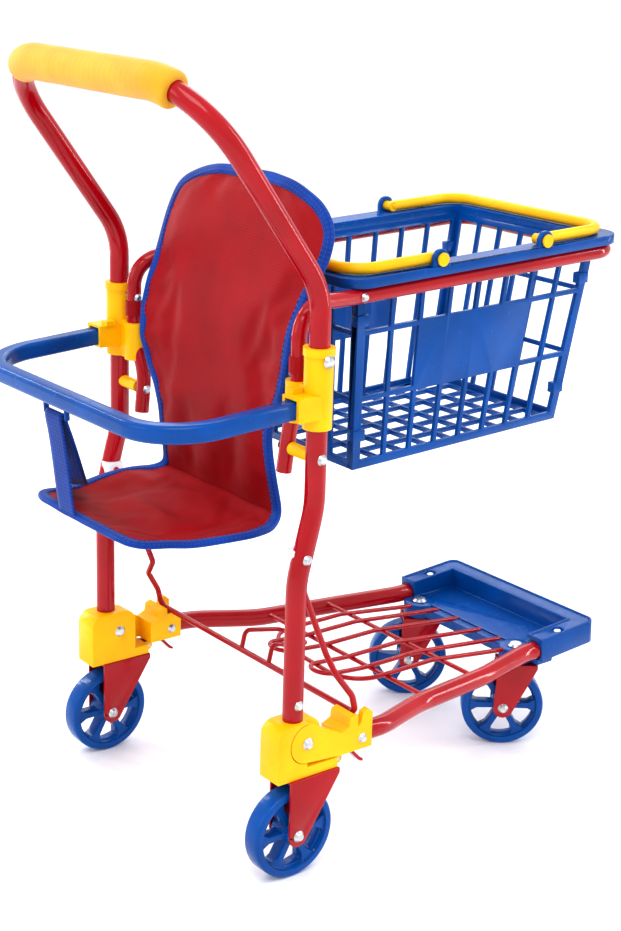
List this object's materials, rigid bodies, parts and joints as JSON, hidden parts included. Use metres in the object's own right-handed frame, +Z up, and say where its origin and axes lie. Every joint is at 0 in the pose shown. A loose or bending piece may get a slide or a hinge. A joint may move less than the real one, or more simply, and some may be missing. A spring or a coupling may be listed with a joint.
{
  "type": "toy shopping cart",
  "caption": "Child's shopping cart with a doll seat and guard bar, a lift-out lattice basket on a ring, a wire rack, front casters and a folding lower frame.",
  "frame": {"origin": "centre of the bounding box, on the floor", "axes": "+X is the way the cart is pushed, +Y its left side, +Z up"},
  "size_m": [0.5065, 0.301, 0.6225],
  "materials": {
    "red_paint": "glossy enamel",
    "yellow_plastic": "moulded, semi-gloss",
    "blue_plastic": "moulded, glossy",
    "white_plastic": "moulded, translucent",
    "zinc": "bright zinc plate",
    "yellow_foam": "soft foam sleeve",
    "red_cloth": "woven polyester",
    "blue_web": "woven tape"
  },
  "bodies": {
    "frame": {"handle_frame": "red_paint", "handle_grip": "yellow_foam", "collar_left": "yellow_plastic", "collar_right": "yellow_plastic", "spacer_left": "yellow_plastic", "spacer_right": "yellow_plastic", "frame_bolts": "zinc", "basket_ring": "red_paint", "ring_post_left": "red_paint", "ring_post_right": "red_paint", "housing_left": "yellow_plastic", "housing_right": "yellow_plastic", "pivot_pins": "zinc", "rear_fork_left": "red_paint", "rear_fork_right": "red_paint", "rear_axle_left": "zinc", "rear_axle_right": "zinc", "lever_pins": "zinc", "bow_clip_left": "white_plastic", "bow_clip_right": "white_plastic", "doll_bar": "blue_plastic", "strap": "blue_web", "seat_back": "red_cloth", "seat_base": "red_cloth", "seat_tabs": "blue_web"},
    "rear_wheel_left": {"rear_wheel_left": "blue_plastic"},
    "rear_wheel_right": {"rear_wheel_right": "blue_plastic"},
    "lever_left": {"release_lever_left": "red_paint"},
    "lever_right": {"release_lever_right": "red_paint"},
    "lower_frame": {"arm_left": "yellow_plastic", "arm_right": "yellow_plastic", "side_tube_left": "red_paint", "side_tube_right": "red_paint", "arm_rivets": "zinc", "bumper": "blue_plastic", "bumper_screws": "zinc", "rack": "red_paint"},
    "caster_left": {"caster_fork_left": "red_paint", "caster_stem_left": "zinc", "caster_axle_left": "zinc"},
    "caster_right": {"caster_fork_right": "red_paint", "caster_stem_right": "zinc", "caster_axle_right": "zinc"},
    "front_wheel_left": {"front_wheel_left": "blue_plastic"},
    "front_wheel_right": {"front_wheel_right": "blue_plastic"},
    "lock_bow": {"lock_bow": "red_paint"},
    "basket": {"basket_rim": "blue_plastic", "basket_side_left": "blue_plastic", "basket_side_right": "blue_plastic", "basket_front": "blue_plastic", "basket_rear": "blue_plastic", "basket_floor": "blue_plastic"},
    "rear_bail": {"rear_bail": "yellow_plastic"},
    "front_bail": {"front_bail": "yellow_plastic"}
  },
  "joints": [
    {"name": "rear_wheel_left_spin", "type": "hinge", "parent": "frame", "child": "rear_wheel_left", "pos_m": [-0.12828, 0.1345, 0.037], "axis": [0, 1, 0], "continuous": true},
    {"name": "rear_wheel_right_spin", "type": "hinge", "parent": "frame", "child": "rear_wheel_right", "pos_m": [-0.12828, -0.1345, 0.037], "axis": [0, 1, 0], "continuous": true},
    {"name": "lower_frame_fold", "type": "hinge", "parent": "frame", "child": "lower_frame", "pos_m": [-0.12028, 0, 0.113], "axis": [0, -1, 0], "range_deg": [0, 24]},
    {"name": "lock_bow_swing", "type": "hinge", "parent": "frame", "child": "lock_bow", "pos_m": [-0.12328, 0, 0.262], "axis": [0, -1, 0], "range_deg": [0, 36]},
    {"name": "lever_left_press", "type": "hinge", "parent": "frame", "child": "lever_left", "pos_m": [-0.08608, 0.1345, 0.089], "axis": [0, 1, 0], "range_deg": [0, 15], "stiffness_Nm_per_rad": 0.1, "springref_deg": -5.73},
    {"name": "lever_right_press", "type": "hinge", "parent": "frame", "child": "lever_right", "pos_m": [-0.08608, -0.1345, 0.089], "axis": [0, 1, 0], "range_deg": [0, 15], "stiffness_Nm_per_rad": 0.1, "springref_deg": -5.73},
    {"name": "caster_left_swivel", "type": "hinge", "parent": "lower_frame", "child": "caster_left", "pos_m": [0.18122, 0.0655, 0.08], "axis": [0, 0, 1], "continuous": true},
    {"name": "caster_right_swivel", "type": "hinge", "parent": "lower_frame", "child": "caster_right", "pos_m": [0.18122, -0.0655, 0.08], "axis": [0, 0, 1], "continuous": true},
    {"name": "front_wheel_left_spin", "type": "hinge", "parent": "caster_left", "child": "front_wheel_left", "pos_m": [0.17339, 0.07088, 0.037], "axis": [0.5664, 0.8241, 0], "continuous": true},
    {"name": "front_wheel_right_spin", "type": "hinge", "parent": "caster_right", "child": "front_wheel_right", "pos_m": [0.17368, -0.05972, 0.037], "axis": [0.6088, 0.7934, 0], "continuous": true},
    {"name": "basket_lift", "type": "slide", "parent": "frame", "child": "basket", "axis": [-0.0384, 0, 0.9993], "range_m": [0, 0.17]},
    {"name": "rear_bail_raise", "type": "hinge", "parent": "basket", "child": "rear_bail", "pos_m": [0.03291, 0, 0.46663], "axis": [0, 1, 0], "range_deg": [0, 100]},
    {"name": "front_bail_raise", "type": "hinge", "parent": "basket", "child": "front_bail", "pos_m": [0.14683, 0, 0.47101], "axis": [0, -1, 0], "range_deg": [0, 100]}
  ],
  "couplings": [
    {"joint": "lock_bow_swing", "follows": "lower_frame_fold", "ratio": 1.5}
  ]
}
